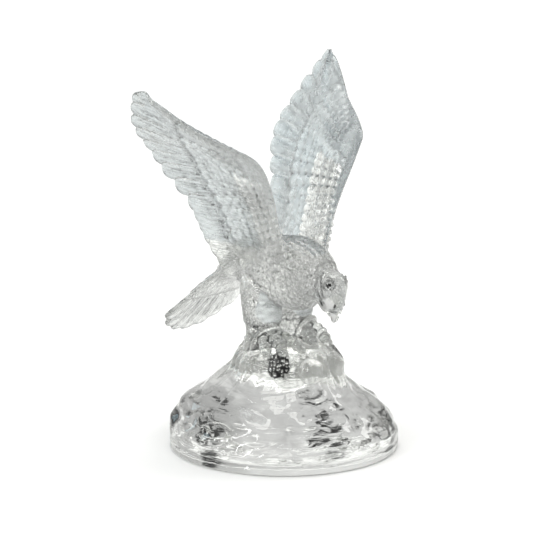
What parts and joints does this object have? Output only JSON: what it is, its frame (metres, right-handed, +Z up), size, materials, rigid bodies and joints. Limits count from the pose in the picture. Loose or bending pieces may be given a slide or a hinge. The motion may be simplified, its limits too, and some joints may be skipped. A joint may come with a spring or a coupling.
{
  "type": "glass eagle figurine",
  "caption": "Clear glass figurine of an eagle alighting with raised wings, fanned tail and bowed head on a domed, rippled rock base.",
  "frame": {"origin": "middle of the flat underside, on the surface that the figurine stands on", "axes": "+Z up, -Y the way the eagle faces, +X towards the eagle's left wing"},
  "size_m": [0.1526, 0.1559, 0.217],
  "materials": {
    "clear_glass": "fire-polished clear crystal, satin where feathers are cut"
  },
  "bodies": {
    "root": {"glass_eagle": "clear_glass"}
  },
  "joints": []
}
